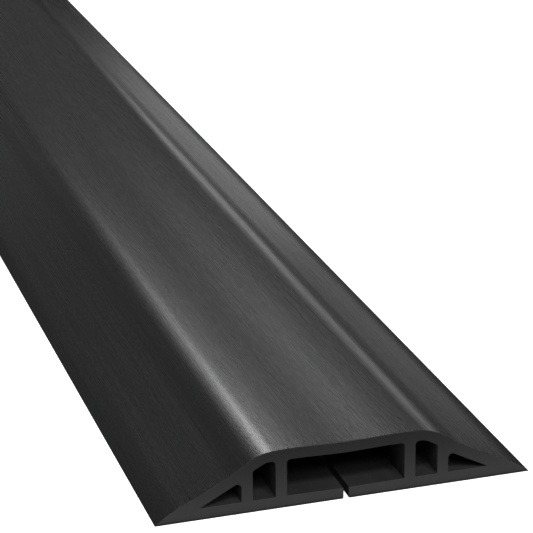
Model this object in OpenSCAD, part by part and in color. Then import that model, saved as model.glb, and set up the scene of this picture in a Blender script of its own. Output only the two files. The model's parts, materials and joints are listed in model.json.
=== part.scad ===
// Low-profile floor cable cover: one flexible extrusion with a slit base. Its walls are
// separate members: the roof, webs, shoulders, ramps, base strips and floor flaps.
// It bends along four lines. Each side folds up and out from the crown deck, which opens the
// slit, and each floor flap bends up from the base strip beside it.
// X runs across the cover, Y along it and Z up. The origin is the middle of the base.

/* [Cover] */
// Width over both toes
cover_w = 76; // [72:1:90]
// Length of one section
cover_len = 915; // [150:5:1525]
// Height of the middle of the crown
crown_h = 11.95; // [11.5:0.05:12.4]
// Rise of the dished crown from its middle to its two highest lines
crown_rise = 0.26; // [0:0.02:0.5]
// Width between those two lines
dish_w = 26; // [22:0.5:27]

/* [Ramp surface] */
// Width between the two shoulder lines, before rounding
crown_w = 34.2; // [33.8:0.1:35]
// Radius of each shoulder
shoulder_r = 10; // [4:0.5:10]
// Width between the bends where the steep upper ramps meet the long lower ramps
bend_w = 46; // [45.2:0.1:47]
// Height of those bends
bend_h = 8.25; // [8.05:0.05:8.5]
// Radius that eases each bend
bend_r = 18; // [6:1:18]
// How far the middle corner of the long ramp lies under a straight line
ramp_dip = 0.15; // [0.03:0.03:0.18]
// Width of the steeper nose of each toe
toe_w = 3.2; // [2.5:0.1:4]
// Height of that nose
toe_h = 2.35; // [1.9:0.05:2.4]
// Radius that eases the top of the nose
toe_r = 8; // [2:1:10]

/* [Channels] */
// Width of the main cable channel
channel_w = 23.7; // [22:0.1:24]
// Width of the slim channel beside it
slim_w = 4.5; // [4.2:0.1:4.8]
// Height of the slim channel's outer wall
slim_side_h = 6.1; // [5.6:0.1:6.2]
// Width of the wedge channel under the ramp
wedge_w = 8.2; // [6:0.1:8.4]
// Height of the wedge channel, before rounding
wedge_h = 4.35; // [3.5:0.05:4.4]

/* [Walls] */
// Thickness of the roof over the main channel
roof_t = 2.25; // [2:0.05:2.6]
// Thickness of the upright webs
web_t = 2.3; // [2.1:0.05:2.4]
// Thickness of the base
floor_t = 2.4; // [2.3:0.05:2.6]
// Thickness of the floor flaps at the slit
flap_tip_t = 2.28; // [1.8:0.02:2.3]

/* [Bending lines] */
// Width of the slit between the floor flaps
slit_w = 1.06; // [0.8:0.02:2]
// Width of the crown deck between the two fold lines
deck_w = 9; // [6:0.5:14]
// Ledge of each base strip inside the main channel
ledge_w = 1.2; // [0.8:0.1:2]
// Gap between the round root of a flap and the ledge that it rolls on
root_gap = 0.03; // [0.01:0.01:0.1]

/* [Hidden] */

RUBBER = "#2b2c2e";         // charcoal black
DISH_STEPS = 8;             // chords in each half of the dished crown
RAMP_R = 150;               // the gentle hollow of the long ramp
SAG = 0.005;                // how far a chord may cut inside its arc
CHANNEL_R = 0.7;            // roof corners of the main channel
SLIM_INNER_R = 0.8;         // top of the slim channel, beside the main channel
SLIM_BROW_R = 3;            // where its roof turns down under the shoulder
SLIM_BROW_SHARE = 0.41;     // how far across the slim channel that turn lies
SLIM_OUTER_R = 0.5;         // top of its outer wall
WEDGE_TOP_R = 0.84;         // top of the wedge channel
OVER = 1;                   // how far a cutting shape runs past what it cuts

tip_x = cover_w / 2;
toe_x = tip_x - toe_w;
bend_x = bend_w / 2;
ramp_x = (bend_x + toe_x) / 2;            // the middle corner of the long ramp
ramp_h = (bend_h + toe_h) / 2 - ramp_dip;
shoulder_x = crown_w / 2;
dish_x = dish_w / 2;
fold_x = deck_w / 2;
channel_x = channel_w / 2;          // inner face of the inner web
slim_in_x = channel_x + web_t;      // outer face of the inner web
slim_out_x = slim_in_x + slim_w;    // inner face of the outer web
wedge_in_x = slim_out_x + web_t;    // outer face of the outer web
wedge_tip_x = wedge_in_x + wedge_w;
slim_top = crown_h + crown_rise - web_t;  // the slim channel's roof is as thick as a web
split_h = (floor_t + slim_side_h) / 2;    // a level inside every tall channel
above = crown_h + crown_rise + OVER;      // a level over everything
ledge_x = channel_x - ledge_w;
root_r = floor_t / 2;
pivot_x = ledge_x - root_gap - root_r;    // axis of a floor flap

// Height of the crown's surface above the floor
function crown_z(x) = crown_h + crown_rise * (1 - cos(180 * min(x / dish_x, 1))) / 2;

function unit(v) = v / norm(v);

// The arc that replaces corner b, with radius b[2], on the way from a to c
function corner(a, b, c) =
    b[2] == 0 ? [[b[0], b[1]]] :
    let (
        at = [b[0], b[1]],
        to_a = unit([a[0], a[1]] - at),
        to_c = unit([c[0], c[1]] - at),
        half = acos(to_a * to_c) / 2,
        centre = at + unit(to_a + to_c) * b[2] / sin(half),
        first = at + to_a * b[2] / tan(half) - centre,
        start = atan2(first[1], first[0]),
        turn = (180 - 2 * half) * (cross(to_a, to_c) > 0 ? -1 : 1),
        steps = ceil(abs(turn) / (2 * acos(1 - SAG / b[2])))
    )
    [for (i = [0 : steps]) let (angle = start + turn * i / steps)
        centre + b[2] * [cos(angle), sin(angle)]];

// A closed outline of [x, z, radius] corners as plain points
function rounded(corners) =
    let (n = len(corners))
    [for (i = [0 : n - 1])
        each corner(corners[(i + n - 1) % n], corners[i], corners[(i + 1) % n])];

// Outer surface of the right half, from the middle of the base round to the middle of the crown
outer_half = concat(
    [[0, 0, 0], [tip_x, 0, 0], [toe_x, toe_h, toe_r], [ramp_x, ramp_h, RAMP_R],
        [bend_x, bend_h, bend_r], [shoulder_x, crown_z(shoulder_x), shoulder_r]],
    [for (i = [DISH_STEPS : -1 : 0]) let (x = dish_x * i / DISH_STEPS) [x, crown_z(x), 0]]
);

// Main channel of the right half, open below
channel_half = concat(
    [[0, -OVER, 0]],
    [for (i = [0 : DISH_STEPS]) let (x = channel_x * i / DISH_STEPS)
        [x, crown_z(x) - roof_t, i == DISH_STEPS ? CHANNEL_R : 0]],
    [[channel_x, floor_t, 0], [ledge_x, floor_t, 0], [ledge_x, -OVER, 0]]
);

slim_channel = [
    [slim_in_x, floor_t, 0],
    [slim_in_x, slim_top, SLIM_INNER_R],
    [slim_in_x + slim_w * SLIM_BROW_SHARE, slim_top, SLIM_BROW_R],
    [slim_out_x, floor_t + slim_side_h, SLIM_OUTER_R],
    [slim_out_x, floor_t, 0]
];

wedge_channel = [
    [wedge_in_x, floor_t, 0],
    [wedge_in_x, floor_t + wedge_h, WEDGE_TOP_R],
    [wedge_tip_x, floor_t, 0]
];

// Right half of the cross-section, without the floor flap
module half_section() {
    difference() {
        polygon(rounded(outer_half));
        polygon(rounded(channel_half));
        polygon(rounded(slim_channel));
        polygon(rounded(wedge_channel));
    }
}

// Extrudes a cross-section along the cover
module along_cover() {
    rotate([90, 0, 0]) linear_extrude(height = cover_len, center = true) children();
}

// What lies between two upright planes and two levels of the right half
module member(from_x, to_x, from_z, to_z) {
    color(RUBBER) along_cover() intersection() {
        half_section();
        translate([from_x, from_z]) square([to_x - from_x, to_z - from_z]);
    }
}

module on_left() { mirror([1, 0, 0]) children(); }

// The middle of the roof, between the two fold lines
module crown_deck() {
    color(RUBBER) along_cover() for (side = [0, 1]) mirror([side, 0]) intersection() {
        half_section();
        translate([0, split_h]) square([fold_x, above - split_h]);
    }
}

// The roof from a fold line to the inner web
module crown_wing() { member(fold_x, channel_x, split_h, above); }

// The upright between the main and the slim channel
module inner_web() { member(channel_x, slim_in_x, floor_t, above); }

// The rounded roof of the slim channel
module shoulder() { member(slim_in_x, slim_out_x, split_h, above); }

// The upright between the slim and the wedge channel
module outer_web() { member(slim_out_x, wedge_in_x, floor_t, above); }

// The sloped plate over the wedge channel, solid towards the toe
module ramp_plate() { member(wedge_in_x, tip_x, floor_t, above); }

// The base under all of these, out to the point of the toe
module base_strip() { member(ledge_x, tip_x, 0, floor_t); }

// The base strip beside the slit, with a round root that rolls on the ledge
module floor_flap() {
    color(RUBBER) along_cover() {
        translate([pivot_x, root_r]) circle(r = root_r, $fn = 48);
        polygon([[slit_w / 2, 0], [pivot_x, 0], [pivot_x, floor_t], [slit_w / 2, flap_tip_t]]);
    }
}

crown_deck();
on_left() crown_wing();  // left_crown_wing
on_left() inner_web();  // left_inner_web
on_left() shoulder();  // left_shoulder
on_left() outer_web();  // left_outer_web
on_left() ramp_plate();  // left_ramp_plate
on_left() base_strip();  // left_base_strip
on_left() floor_flap();  // left_floor_flap
crown_wing();  // right_crown_wing
inner_web();  // right_inner_web
shoulder();  // right_shoulder
outer_web();  // right_outer_web
ramp_plate();  // right_ramp_plate
base_strip();  // right_base_strip
floor_flap();  // right_floor_flap
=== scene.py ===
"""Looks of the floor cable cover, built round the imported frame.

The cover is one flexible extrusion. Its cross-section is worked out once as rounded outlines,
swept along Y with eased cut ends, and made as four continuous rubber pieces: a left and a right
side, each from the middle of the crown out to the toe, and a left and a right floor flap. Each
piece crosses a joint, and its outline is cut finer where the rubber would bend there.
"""

import json
import math

import bmesh
import bpy
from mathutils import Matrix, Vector


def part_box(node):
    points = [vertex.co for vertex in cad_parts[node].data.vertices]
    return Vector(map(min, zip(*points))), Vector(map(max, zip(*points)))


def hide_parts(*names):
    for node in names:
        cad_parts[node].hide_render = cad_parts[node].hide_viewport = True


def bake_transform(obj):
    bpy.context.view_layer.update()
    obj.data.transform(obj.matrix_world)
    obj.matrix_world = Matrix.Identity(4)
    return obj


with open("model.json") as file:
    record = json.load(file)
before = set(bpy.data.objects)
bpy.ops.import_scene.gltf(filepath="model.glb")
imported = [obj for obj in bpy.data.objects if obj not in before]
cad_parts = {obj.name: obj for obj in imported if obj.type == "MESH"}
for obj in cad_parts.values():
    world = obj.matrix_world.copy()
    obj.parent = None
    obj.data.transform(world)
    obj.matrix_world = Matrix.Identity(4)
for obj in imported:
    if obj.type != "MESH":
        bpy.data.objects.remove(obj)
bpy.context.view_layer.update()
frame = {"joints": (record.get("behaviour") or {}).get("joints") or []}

MM = 0.001

# ---------------------------------------------------------------- sizes, from the frame
base_low, base_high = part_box("right_base_strip")
web_low, web_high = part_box("right_inner_web")
outer_low, outer_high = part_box("right_outer_web")
deck_low, deck_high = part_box("crown_deck")
flap_low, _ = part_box("right_floor_flap")

NEAR_Y, FAR_Y = base_low.y, base_high.y
TIP_X = base_high.x                          # point of the toe
FLOOR_T = base_high.z                        # thickness of the base
CHANNEL_X, SLIM_IN_X = web_low.x, web_high.x
SLIM_OUT_X, WEDGE_IN_X = outer_low.x, outer_high.x
PEAK_H = web_high.z                          # height of the crown's two highest lines
CHANNEL_MID_H = deck_low.z                   # roof of the main channel, in the middle
SLIT_X = flap_low.x
FOLD_X = deck_high.x

# ---------------------------------------------------------------- sizes of the section
# An X or H on its own is a place across or up the right half, T a thickness and R a radius.
ROOF_T = 2.28 * MM
CROWN_H = CHANNEL_MID_H + ROOF_T             # height of the middle of the crown
PEAK_X = 10.4 * MM
ROLL_R, ROLL_END_X = 95 * MM, 14.2 * MM      # the gentle roll beyond the highest lines
SHOULDER_X, SHOULDER_R = 17.25 * MM, 11 * MM  # where the line of the upper ramp reaches PEAK_H
BEND_X, BEND_H, BEND_R = 23 * MM, 8.25 * MM, 18 * MM
RAMP_DIP, RAMP_R = 0.1 * MM, 150 * MM        # the slight hollow of the lower ramp
TOE_X, TOE_H, TOE_R = TIP_X - 3.2 * MM, 2.4 * MM, 22 * MM
TIP_R, TIP_REACH = 0.05 * MM, 0.09 * MM      # the corner is past the point, which its arc brings back
SLIM_TOP_H = PEAK_H - (SLIM_IN_X - CHANNEL_X)
SLIM_SIDE_H = 6.1 * MM                       # above the top of the base, like WEDGE_H
SLIM_BROW_X = SLIM_IN_X + 1.85 * MM
SLIM_INNER_R, SLIM_BROW_R, SLIM_OUTER_R = 0.8 * MM, 3 * MM, 0.5 * MM
WEDGE_W, WEDGE_H = 8.2 * MM, 4.35 * MM
WEDGE_TOP_R, WEDGE_TIP_R = 0.84 * MM, 0.06 * MM
FLAP_TIP_T = 2.28 * MM
SLIT_EDGE_R = 0.15 * MM
CHANNEL_R = 0.7 * MM                         # roof corners of the main channel
FOOT_R = 0.22 * MM                           # floor corners of the slim and wedge channels

# ---------------------------------------------------------------- fineness of the mesh
DISH_STEPS = 28                  # chords in the dish and roll of half the crown
ARC_SAG = 0.0015 * MM            # how far a chord may cut inside its arc
RUN_STEP = 1.6 * MM              # longest chord where the rubber keeps its shape
BEND_STEP = 0.4 * MM             # and where it bends
RING_STEP = 9 * MM               # between rings of points along the cover
SHARP_ANGLE = math.radians(40)   # edges that turn more than this are shaded sharp

# ---------------------------------------------------------------- eased edges of the cut ends
EDGE_R = 0.12 * MM               # radius of the easing
EDGE_STEPS = 3                   # chords in it
CRISP = 0.35                     # share of the easing at the base and at the point of the toe
TOE_EDGE = 0.1 * MM              # how far the point of the toe reaches
STRAIGHT_ON = 0.9                # cosine above which one edge carries on as the next

NEARLY = 1e-7                    # two places closer than this are the same
FACE_SLACK = 0.01 * MM           # slack in telling which finish a face has


# ---------------------------------------------------------------- outlines
def crown_z(x):
    """Height of the crown: a shallow dish that rolls over gently beyond its two highest lines."""
    if x > PEAK_X:
        return PEAK_H - (x - PEAK_X) ** 2 / (2 * ROLL_R)
    return CROWN_H + (PEAK_H - CROWN_H) * (1 - math.cos(math.pi * x / PEAK_X)) / 2


def shoulder_corner():
    """Where the end of the roll, carried on straight, meets the upper ramp."""
    fall = (ROLL_END_X - PEAK_X) / ROLL_R
    ramp_fall = (PEAK_H - BEND_H) / (BEND_X - SHOULDER_X)
    gap = PEAK_H - crown_z(ROLL_END_X) + fall * (SHOULDER_X - ROLL_END_X)
    x = SHOULDER_X + gap / (ramp_fall - fall)
    return x, PEAK_H - ramp_fall * (x - SHOULDER_X), SHOULDER_R


def corner(before, at, after, radius):
    """The arc that rounds a corner, as points from the side of before to the side of after."""
    if radius <= 0:
        return [at]
    to_before, to_after = (before - at).normalized(), (after - at).normalized()
    half = to_before.angle(to_after) / 2
    centre = at + (to_before + to_after).normalized() * radius / math.sin(half)
    first = at + to_before * radius / math.tan(half) - centre
    turn = math.pi - 2 * half
    if to_before.cross(to_after) > 0:
        turn = -turn
    steps = max(2, math.ceil(abs(turn) / (2 * math.acos(1 - ARC_SAG / radius))))
    start = math.atan2(first.y, first.x)
    angles = [start + turn * i / steps for i in range(steps + 1)]
    return [centre + radius * Vector((math.cos(angle), math.sin(angle))) for angle in angles]


def rounded(corners):
    """Closed outline from (x, z, radius) corners."""
    spots = [Vector((x, z)) for x, z, _ in corners]
    outline = []
    for i, (_, _, radius) in enumerate(corners):
        outline += corner(spots[i - 1], spots[i], spots[(i + 1) % len(spots)], radius)
    return outline


def divided(outline, step):
    """The outline with its long runs cut into steps. step(point) is the longest step at a place."""
    points = []
    for i, p in enumerate(outline):
        q = outline[(i + 1) % len(outline)]
        parts = max(1, math.ceil((q - p).length / step((p + q) / 2)))
        points += [p.lerp(q, k / parts) for k in range(parts)]
    return points


def side_outline():
    """Half of the cover without its floor flap, anticlockwise from the middle of the crown."""
    top_xs = [ROLL_END_X * i / DISH_STEPS for i in range(DISH_STEPS + 1)]
    top = [(x, crown_z(x), 0) for x in top_xs]
    # The roof of the channel follows the crown as far as the arc of its corner.
    roof_xs = [CHANNEL_X * i / DISH_STEPS for i in range(DISH_STEPS)]
    roof = [(x, crown_z(x) - ROOF_T, 0) for x in roof_xs if x < CHANNEL_X - CHANNEL_R]
    roof.append((CHANNEL_X, crown_z(CHANNEL_X) - ROOF_T, CHANNEL_R))
    ramp = [shoulder_corner(), (BEND_X, BEND_H, BEND_R),
            ((BEND_X + TOE_X) / 2, (BEND_H + TOE_H) / 2 - RAMP_DIP, RAMP_R),
            (TOE_X, TOE_H, TOE_R), (TIP_X + TIP_REACH, 0, TIP_R)]
    seam = [(CHANNEL_X, 0, 0), (CHANNEL_X, FLOOR_T - EDGE_R, 0), (CHANNEL_X, FLOOR_T, 0)]
    clockwise = top + ramp + seam + roof[::-1]
    return rounded(clockwise[::-1])


def slim_outline():
    """The slim channel, clockwise."""
    return rounded([
        (SLIM_IN_X, FLOOR_T, FOOT_R),
        (SLIM_IN_X, SLIM_TOP_H, SLIM_INNER_R),
        (SLIM_BROW_X, SLIM_TOP_H, SLIM_BROW_R),
        (SLIM_OUT_X, FLOOR_T + SLIM_SIDE_H, SLIM_OUTER_R),
        (SLIM_OUT_X, FLOOR_T, FOOT_R)])


def wedge_outline():
    """The wedge channel under the ramp, clockwise."""
    return rounded([
        (WEDGE_IN_X, FLOOR_T, FOOT_R),
        (WEDGE_IN_X, FLOOR_T + WEDGE_H, WEDGE_TOP_R),
        (WEDGE_IN_X + WEDGE_W, FLOOR_T, WEDGE_TIP_R)])


def flap_outline():
    """A floor flap from its root at the web to the slit, anticlockwise."""
    return rounded([
        (CHANNEL_X, 0, 0),
        (CHANNEL_X, FLOOR_T, 0),
        (SLIT_X, FLAP_TIP_T, SLIT_EDGE_R),
        (SLIT_X, 0, SLIT_EDGE_R)])


def mirrored(outline):
    """The same outline on the other side, still with the rubber on its left."""
    return [Vector((-p.x, p.y)) for p in reversed(outline)]


# ---------------------------------------------------------------- sweeping an outline
def on_seam(p, q):
    """True for the edges where two pieces meet: the middle of the crown and the roots of the flaps."""
    def both_at(x):
        return abs(abs(p.x) - x) < NEARLY and abs(abs(q.x) - x) < NEARLY
    return both_at(0) or (both_at(CHANNEL_X) and max(p.y, q.y) < FLOOR_T + NEARLY)


def eased(outline):
    """For each point, which way and how far the eased edge of a cut end draws in, per unit of easing."""
    ways = []
    for i, p in enumerate(outline):
        before, after = outline[i - 1], outline[(i + 1) % len(outline)]
        a, b = (p - before).normalized(), (after - p).normalized()
        into_a, into_b = Vector((-a.y, a.x)), Vector((-b.y, b.x))
        seam_a, seam_b = on_seam(before, p), on_seam(p, after)
        crisp = p.y < NEARLY or abs(p.x) > TIP_X - TOE_EDGE
        if seam_a and seam_b:
            # Inside a seam the two pieces keep meeting.
            way = Vector((0, 0))
        elif not (seam_a or seam_b):
            # A mitre, one unit into the rubber from the edge on each side.
            middle = (into_a + into_b).normalized()
            way = middle / middle.dot(into_a)
        elif abs(into_a.dot(into_b)) > STRAIGHT_ON:
            # The foot of the channel's wall: into the wall, and along the seam into the flap.
            way = into_b - a if seam_a else into_a + b
        else:
            # Along the seam, as far as draws the free edge in by one unit.
            way = a / a.dot(into_b) if seam_a else b / b.dot(into_a)
        ways.append(way * CRISP if crisp else way)
    return ways


def rings():
    """(y, easing) of each ring of points along the cover."""
    quarter = [math.pi / 2 * k / EDGE_STEPS for k in range(EDGE_STEPS + 1)]
    near = [(NEAR_Y + EDGE_R * (1 - math.sin(t)), EDGE_R * (1 - math.cos(t))) for t in reversed(quarter)]
    count = round((FAR_Y - NEAR_Y) / RING_STEP)
    between = FAR_Y - NEAR_Y - 2 * EDGE_R
    body = [(NEAR_Y + EDGE_R + between * k / count, 0) for k in range(1, count)]
    far = [(-y + NEAR_Y + FAR_Y, inset) for y, inset in reversed(near)]
    return near + body + far


SKIN, CHANNEL, CUT = range(3)    # places of the three finishes among a piece's materials
REST_PLACE = "rest_place"


def finish_of(p):
    """Which finish the long face at a point of the section has."""
    x, z = abs(p.x), p.y
    in_main = x < CHANNEL_X + FACE_SLACK and FLAP_TIP_T - FACE_SLACK < z < crown_z(x) - ROOF_T / 2
    in_slit = x < SLIT_X + FACE_SLACK and z < FLOOR_T
    return CHANNEL if in_main or in_slit else SKIN


def add_walls(bm, loop, is_hole):
    """The long faces of one outline, between rings of points. Gives the rings."""
    places = rings()
    ways = eased(loop)
    grid = [[bm.verts.new((p.x + w.x * inset, y, p.y + w.y * inset)) for p, w in zip(loop, ways)]
            for y, inset in places]
    for k in range(len(places) - 1):
        on_edge = places[k][1] > 0 or places[k + 1][1] > 0
        for i in range(len(loop)):
            j = (i + 1) % len(loop)
            face = bm.faces.new((grid[k][i], grid[k + 1][i], grid[k + 1][j], grid[k][j]))
            if on_edge:
                face.material_index = CUT
            elif is_hole:
                face.material_index = CHANNEL
            else:
                face.material_index = finish_of((loop[i] + loop[j]) / 2)
    return grid


def ring_edges(bm, ring):
    """The edges round one ring of points."""
    return [bm.edges.get((point, ring[(i + 1) % len(ring)])) for i, point in enumerate(ring)]


def close_end(bm, edges, way):
    """Fills a cut end between its edges. way is -1 at the near end and 1 at the far end."""
    made = bmesh.ops.triangle_fill(bm, use_beauty=True, edges=edges, normal=(0, way, 0))
    for face in made["geom"]:
        if isinstance(face, bmesh.types.BMFace):
            face.material_index = CUT
            if face.normal.y * way < 0:
                face.normal_flip()


def shade(bm):
    """Smooth faces, with a sharp edge wherever the rubber turns a real corner."""
    bm.normal_update()
    for edge in bm.edges:
        if len(edge.link_faces) == 2 and edge.calc_face_angle() > SHARP_ANGLE:
            edge.smooth = False
    for face in bm.faces:
        face.smooth = True


def note_rest_place(mesh):
    """Keeps where each point is at rest, so that the finish bends with the rubber."""
    rest = mesh.attributes.new(REST_PLACE, "FLOAT_VECTOR", "POINT")
    rest.data.foreach_set("vector", [c for v in mesh.vertices for c in v.co])


def sweep(name, outline, holes, materials):
    """A closed solid with that section, with eased edges at both cut ends."""
    bm = bmesh.new()
    near, far = [], []
    for number, loop in enumerate([outline] + holes):
        grid = add_walls(bm, loop, is_hole=number > 0)
        near += ring_edges(bm, grid[0])
        far += ring_edges(bm, grid[-1])
    close_end(bm, near, -1)
    close_end(bm, far, 1)
    shade(bm)
    mesh = bpy.data.meshes.new(name)
    bm.to_mesh(mesh)
    bm.free()
    note_rest_place(mesh)
    for material in materials:
        mesh.materials.append(material)
    piece = bpy.data.objects.new(name, mesh)
    bpy.context.scene.collection.objects.link(piece)
    weighted = piece.modifiers.new("even_shading", "WEIGHTED_NORMAL")
    weighted.keep_sharp = True
    return piece


# ---------------------------------------------------------------- rubber
# Features of each noise per metre across, along and up the cover.
HAIR_SCALE = (4200, 20, 4200)
LINE_SCALE = (1300, 5, 1300)
BAND_SCALE = (160, 1.6, 160)
SKIN_GRAIN_SCALE = (3200, 1600, 3200)
DIE_LINE_SCALE = (1400, 8, 1400)
WALL_CLOUD_SCALE = (60, 20, 60)
CUT_GRAIN_SCALE = (5200, 5200, 5200)
CUT_DRAG_SCALE = (260, 260, 2600)
CUT_CLOUD_SCALE = (90, 90, 90)
NOISE_LOW, NOISE_HIGH = 0.35, 0.65      # most of a noise lies between these

# Each finish goes from its dark to its light colour, and has a range of roughness.
SKIN_DARK, SKIN_LIGHT = (0.016, 0.0162, 0.0168), (0.028, 0.0283, 0.029)
SKIN_ROUGH = (0.255, 0.285)
SKIN_ANISOTROPY = 0.75
# The channel colours are paler than the skin's as painted light, so the channel floors near the mouth
# look lit.
WALL_DARK, WALL_LIGHT = (0.031, 0.0312, 0.0316), (0.043, 0.0432, 0.0436)
WALL_ROUGH = (0.5, 0.62)
CUT_DARK, CUT_LIGHT = (0.0175, 0.0177, 0.0181), (0.046, 0.0463, 0.0468)
CUT_ROUGH = (0.6, 0.72)
CUT_FLOOR_LIGHT, CUT_MOTTLED = 0.85, 0.15    # shares of that colour range by height, as painted light from the floor, and by noise


class Nodes:
    """A short way to write a node material."""

    def __init__(self, name):
        self.material = bpy.data.materials.new(name)
        self.material.use_nodes = True
        self.tree = self.material.node_tree
        self.shader = self.tree.nodes["Principled BSDF"]

    def add(self, kind, links=(), **values):
        """A node. links are (input, source socket) pairs, and values are its properties."""
        node = self.tree.nodes.new(kind)
        for key, value in values.items():
            setattr(node, key, value)
        for socket, source in links:
            self.put(node.inputs[socket], source)
        return node

    def put(self, socket, source):
        """Links a socket to a source socket, or sets its value."""
        if isinstance(source, bpy.types.NodeSocket):
            self.tree.links.new(source, socket)
        else:
            socket.default_value = source

    def rest_place(self):
        """Where the shaded point is while the cover is at rest."""
        return self.add("ShaderNodeAttribute", attribute_name=REST_PLACE).outputs["Vector"]

    def rest_height(self):
        """How high above the floor the shaded point is at rest."""
        return self.add("ShaderNodeSeparateXYZ", [(0, self.rest_place())]).outputs["Z"]

    def noise(self, scale, detail=2.0, rough=0.5):
        """Noise with its own scale on each axis, per metre, at the rest place."""
        place = self.rest_place()
        scaled = self.add("ShaderNodeVectorMath", [(0, place), (1, scale)], operation="MULTIPLY")
        node = self.add("ShaderNodeTexNoise", [
            ("Vector", scaled.outputs[0]), ("Scale", 1.0), ("Detail", detail), ("Roughness", rough)])
        return node.outputs[0]

    def remap(self, value, low, high, to_low, to_high):
        """value mapped from one range to another and held there."""
        node = self.add("ShaderNodeMapRange", [
            ("Value", value), ("From Min", low), ("From Max", high),
            ("To Min", to_low), ("To Max", to_high)])
        return node.outputs[0]

    def spread(self, noise, to_low, to_high):
        """A noise spread over a range."""
        return self.remap(noise, NOISE_LOW, NOISE_HIGH, to_low, to_high)

    def maths(self, operation, a, b):
        """The result of one arithmetic step on a and b."""
        return self.add("ShaderNodeMath", [(0, a), (1, b)], operation=operation).outputs[0]

    def shared(self, a, a_share, b, b_share):
        """a and b added, each times its share."""
        return self.maths("ADD", self.maths("MULTIPLY", a, a_share), self.maths("MULTIPLY", b, b_share))

    def blend_colour(self, amount, dark, light):
        """Colour from dark to light by amount."""
        node = self.add("ShaderNodeMix", data_type="RGBA")
        self.put(node.inputs[0], amount)
        self.put(node.inputs[6], (*dark, 1))
        self.put(node.inputs[7], (*light, 1))
        return node.outputs[2]

    def bump(self, height, distance, strength, below=None):
        """A normal bent by height, on top of the normal below if there is one."""
        links = [("Height", height), ("Distance", distance), ("Strength", strength)]
        if below is not None:
            links.append(("Normal", below))
        return self.add("ShaderNodeBump", links).outputs[0]


def rubber_skin():
    """Outer faces: satin charcoal with fine hairlines drawn along the extrusion."""
    n = Nodes("rubber_skin")
    hair = n.noise(HAIR_SCALE)
    lines = n.noise(LINE_SCALE)
    bands = n.noise(BAND_SCALE)
    grain = n.noise(SKIN_GRAIN_SCALE, rough=0.6)
    streak = n.shared(hair, 0.7, lines, 0.3)
    tone = n.shared(streak, 0.4, grain, 0.6)
    n.put(n.shader.inputs["Base Color"], n.blend_colour(n.spread(tone, 0, 1), SKIN_DARK, SKIN_LIGHT))
    n.put(n.shader.inputs["Roughness"], n.spread(streak, *SKIN_ROUGH))
    fine = n.bump(streak, distance=0.02 * MM, strength=0.1)
    n.put(n.shader.inputs["Normal"], n.bump(bands, distance=0.1 * MM, strength=0.06, below=fine))
    # The hairlines spread the gloss across the cover and keep it tight along it.
    n.shader.inputs["Anisotropic"].default_value = SKIN_ANISOTROPY
    along = n.add("ShaderNodeTangent", direction_type="RADIAL", axis="Y")
    n.put(n.shader.inputs["Tangent"], along.outputs[0])
    return n.material


def rubber_channel():
    """Channel walls and the faces of the slit: as extruded and unworn, duller, with faint die lines, and
    coloured paler than the skin as painted light.
    """
    n = Nodes("rubber_channel")
    lines = n.noise(DIE_LINE_SCALE)
    cloud = n.noise(WALL_CLOUD_SCALE, detail=3.0)
    n.put(n.shader.inputs["Base Color"], n.blend_colour(n.spread(cloud, 0, 1), WALL_DARK, WALL_LIGHT))
    n.put(n.shader.inputs["Roughness"], n.spread(lines, *WALL_ROUGH))
    n.put(n.shader.inputs["Normal"], n.bump(lines, distance=0.06 * MM, strength=0.5))
    return n.material


def rubber_cut():
    """Cut ends: matte, with faint knife marks, and painted paler towards the base as painted light from
    the white floor.
    """
    n = Nodes("rubber_cut")
    grain = n.noise(CUT_GRAIN_SCALE, detail=3.0, rough=0.6)
    drag = n.noise(CUT_DRAG_SCALE)
    cloud = n.noise(CUT_CLOUD_SCALE)
    tone = n.shared(grain, 0.5, cloud, 0.5)
    # Painted light: the cut end is coloured paler towards the base, as if lit by the white floor.
    painted_floor_light = n.remap(n.rest_height(), PEAK_H, 0, 0, CUT_FLOOR_LIGHT)
    pale = n.maths("ADD", painted_floor_light, n.spread(tone, 0, CUT_MOTTLED))
    n.put(n.shader.inputs["Base Color"], n.blend_colour(pale, CUT_DARK, CUT_LIGHT))
    n.put(n.shader.inputs["Roughness"], n.remap(tone, 0.3, 0.7, *CUT_ROUGH))
    pitted = n.bump(grain, distance=0.03 * MM, strength=0.4)
    n.put(n.shader.inputs["Normal"], n.bump(drag, distance=0.05 * MM, strength=0.35, below=pitted))
    return n.material


# ---------------------------------------------------------------- the cover
SIDE_MEMBERS = ("crown_wing", "inner_web", "shoulder", "outer_web", "ramp_plate", "base_strip")
FLAP_PIVOT_X = {joint["name"]: joint["pos_m"] for joint in frame["joints"]}["right_flap_bend"][0]
# Each bend zone reaches as far to both sides of its joint's axis; the outlines are cut finer there.
ROOF_BEND_END_X = 2 * FOLD_X
FLAP_BEND_END_X = 2 * FLAP_PIVOT_X - CHANNEL_X


def side_step(p):
    """Longest step at a place on a side's outline."""
    return BEND_STEP if p.x < ROOF_BEND_END_X and p.y > FLOOR_T else RUN_STEP


def flap_step(p):
    """Longest step at a place on a flap's outline."""
    return BEND_STEP if p.x > FLAP_BEND_END_X else RUN_STEP


def channel_step(p):
    """Longest step on a channel's outline, which never bends."""
    return RUN_STEP


def build_cover():
    """The left and the right side and the left and the right floor flap, in place of the frame's parts.
    """
    materials = [rubber_skin(), rubber_channel(), rubber_cut()]
    outline = divided(side_outline(), side_step)
    holes = [divided(slim_outline(), channel_step), divided(wedge_outline(), channel_step)]
    flap = divided(flap_outline(), flap_step)
    for hand, way in (("left", -1), ("right", 1)):
        flip = mirrored if way < 0 else list
        side = sweep(f"{hand}_side_rubber", flip(outline), [flip(h) for h in holes], materials)
        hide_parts("crown_deck", *(f"{hand}_{m}" for m in SIDE_MEMBERS))
        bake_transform(side)
        leaf = sweep(f"{hand}_flap_rubber", flip(flap), [], materials)
        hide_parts(f"{hand}_floor_flap")
        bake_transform(leaf)


build_cover()

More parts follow.
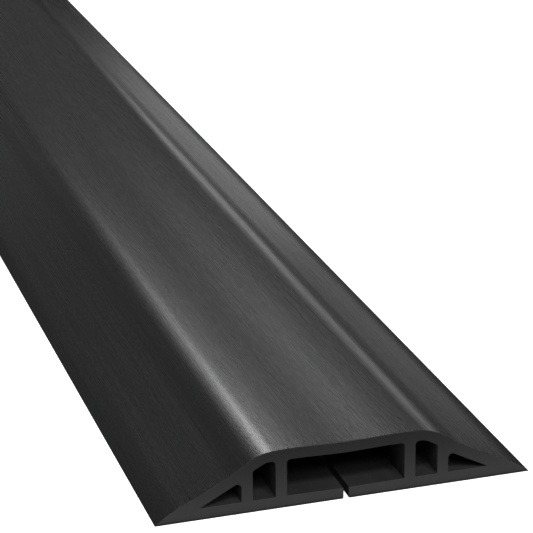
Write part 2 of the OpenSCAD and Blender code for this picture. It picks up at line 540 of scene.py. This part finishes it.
# ---------------------------------------------------------------- camera
LENS, SENSOR_W = 146.8, 36              # both in millimetres
CLIP_NEAR, CLIP_FAR = 0.01, 50
CAMERA_PLACE = (-0.1234, NEAR_Y - 0.356, 0.1865)
CAMERA_TURN = (69.76, 0.70, -17.13)     # degrees


def add_camera():
    """A long lens that looks down on the near end from its left."""
    data = bpy.data.cameras.new("camera")
    data.lens, data.sensor_width = LENS, SENSOR_W
    data.clip_start, data.clip_end = CLIP_NEAR, CLIP_FAR
    camera = bpy.data.objects.new("camera", data)
    camera.location = CAMERA_PLACE
    camera.rotation_euler = [math.radians(a) for a in CAMERA_TURN]
    bpy.context.scene.collection.objects.link(camera)
    bpy.context.scene.camera = camera


# ---------------------------------------------------------------- floor and light
FLOOR_R, BEND_UP_R, WALL_TOP = 10, 2, 9
FLOOR_SIDES, BEND_UP_STEPS = 48, 8
FLOOR_COLOUR = (0.8, 0.8, 0.8, 1)
FLOOR_ROUGH = 0.9
FLOOR_GLOW = 1.05
WORLD_GLOW = 0.015
WHITE = (1, 1, 1, 1)

# Where the lamps point. They are mostly behind the far end, so that the crown and shoulders shine.
AIM = Vector((0, -0.25, 0))
# Each lamp as (name, azimuth from +Y towards +X, elevation, distance, width, height, watts).
LAMPS = [
    ("key", 8, 36, 1.6, 0.16, 0.16, 1.12),
    ("key_near", 8, 34, 1.2, 0.1, 0.1, 0.27),
    ("key_under", 8, 26, 3.0, 0.21, 0.26, 0.6),
    ("key_left", 0, 30, 3.0, 0.21, 0.4, 0.4),
    ("key_left_high", 0, 38, 3.0, 0.21, 0.26, 0.3),
    ("key_right", 16, 34, 3.0, 0.21, 0.26, 0.45),
    ("right_low", 24, 4, 3.0, 0.4, 0.3, 0.48),
    ("right_out", 33, 7, 3.0, 0.4, 0.3, 0.42),
    ("right_mid", 24, 10, 3.0, 0.4, 0.3, 0.15),
    ("right_mid_out", 30, 10, 3.0, 0.4, 0.3, 0.27),
    ("back_broad", 10, 12, 3.0, 0.8, 0.5, 0.1),
    ("left_low", -8, 15, 3.0, 0.6, 0.5, 0.16),
    ("left_out", -20, 20, 3.0, 0.6, 0.6, 0.11),
    ("front_high", 180, 52, 3.0, 2.0, 0.6, 37),
    ("front_mid", 180, 35, 3.0, 2.0, 0.5, 17),
    ("front_low", 180, 20, 3.0, 2.0, 1.0, 1.4),
    ("side_right", 90, 40, 3.0, 1.5, 1.0, 5),
    ("side_left", -90, 40, 3.0, 1.5, 1.0, 3),
    ("back_high", 15, 62, 3.0, 1.5, 1.0, 7),
]

# The light that the floor throws back, as two faint lamps just over it that face up: their height,
# and the size (x, y) of each, its gap to the cover and its watts.
BOUNCE_H = 0.3 * MM
END_BOUNCE_SIZE, END_BOUNCE_GAP, END_BOUNCE_WATTS = (0.2, 0.015), 0.4 * MM, 0.0048
SIDE_BOUNCE_SIZE, SIDE_BOUNCE_GAP, SIDE_BOUNCE_WATTS = (0.04, 0.45), 4 * MM, 0.0026


def floor_mesh():
    """A round floor that turns up into a wall all round."""
    turn = [math.pi / 2 * k / BEND_UP_STEPS for k in range(BEND_UP_STEPS + 1)]
    profile = [(FLOOR_R + BEND_UP_R * math.sin(t), BEND_UP_R * (1 - math.cos(t))) for t in turn]
    profile.append((FLOOR_R + BEND_UP_R, WALL_TOP))
    bm = bmesh.new()
    around = [[bm.verts.new((r * math.cos(a), r * math.sin(a), z)) for r, z in profile]
              for a in (math.tau * k / FLOOR_SIDES for k in range(FLOOR_SIDES))]
    bm.faces.new([spoke[0] for spoke in around])
    for k in range(FLOOR_SIDES):
        a, b = around[k], around[(k + 1) % FLOOR_SIDES]
        for i in range(len(profile) - 1):
            bm.faces.new((a[i + 1], b[i + 1], b[i], a[i]))
    mesh = bpy.data.meshes.new("floor")
    bm.to_mesh(mesh)
    bm.free()
    return mesh


def floor_white():
    """Plain white that glows enough to hold no shadow."""
    n = Nodes("floor_white")
    n.shader.inputs["Base Color"].default_value = FLOOR_COLOUR
    n.shader.inputs["Roughness"].default_value = FLOOR_ROUGH
    n.shader.inputs["Specular IOR Level"].default_value = 0
    n.shader.inputs["Emission Color"].default_value = WHITE
    n.shader.inputs["Emission Strength"].default_value = FLOOR_GLOW
    return n.material


def add_floor():
    """The white floor and far wall. Only the camera sees them, so the dark rubber mirrors no white."""
    mesh = floor_mesh()
    mesh.materials.append(floor_white())
    floor = bpy.data.objects.new("floor", mesh)
    bpy.context.scene.collection.objects.link(floor)
    floor.visible_glossy = False
    floor.visible_diffuse = False


def add_softbox(name, place, target, size, power):
    """An area lamp at place, facing target."""
    data = bpy.data.lights.new(name, "AREA")
    data.shape, data.size, data.size_y = "RECTANGLE", *size
    data.energy = power
    lamp = bpy.data.objects.new(name, data)
    lamp.location = place
    lamp.rotation_euler = (Vector(target) - Vector(place)).to_track_quat("-Z", "Y").to_euler()
    bpy.context.scene.collection.objects.link(lamp)
    return lamp


def add_bounce(name, x, y, size, watts):
    """A lamp just over the floor that faces up and isn't seen itself."""
    lamp = add_softbox(name, (x, y, BOUNCE_H), (x, y, 1), size, watts)
    lamp.visible_camera = False


def add_floor_bounce():
    """The light that the white floor throws back up at the cut end and the right ramp."""
    end_y = NEAR_Y - END_BOUNCE_GAP - END_BOUNCE_SIZE[1] / 2
    add_bounce("end_bounce", 0, end_y, END_BOUNCE_SIZE, END_BOUNCE_WATTS)
    side_x = TIP_X + SIDE_BOUNCE_GAP + SIDE_BOUNCE_SIZE[0] / 2
    side_y = NEAR_Y + SIDE_BOUNCE_SIZE[1] / 2
    add_bounce("side_bounce", side_x, side_y, SIDE_BOUNCE_SIZE, SIDE_BOUNCE_WATTS)


def add_lamps():
    """The lamps of the table, all facing AIM."""
    for name, azimuth, elevation, distance, width, height, watts in LAMPS:
        a, e = math.radians(azimuth), math.radians(elevation)
        way = Vector((math.sin(a) * math.cos(e), math.cos(a) * math.cos(e), math.sin(e)))
        add_softbox(name, AIM + way * distance, AIM, (width, height), watts)


def add_world():
    """A faint even light from everywhere."""
    world = bpy.data.worlds.new("studio")
    world.use_nodes = True
    background = world.node_tree.nodes["Background"]
    background.inputs["Color"].default_value = WHITE
    background.inputs["Strength"].default_value = WORLD_GLOW
    bpy.context.scene.world = world


add_camera()
add_floor()
add_lamps()
add_floor_bounce()
add_world()
bpy.context.scene.view_settings.view_transform = "Standard"
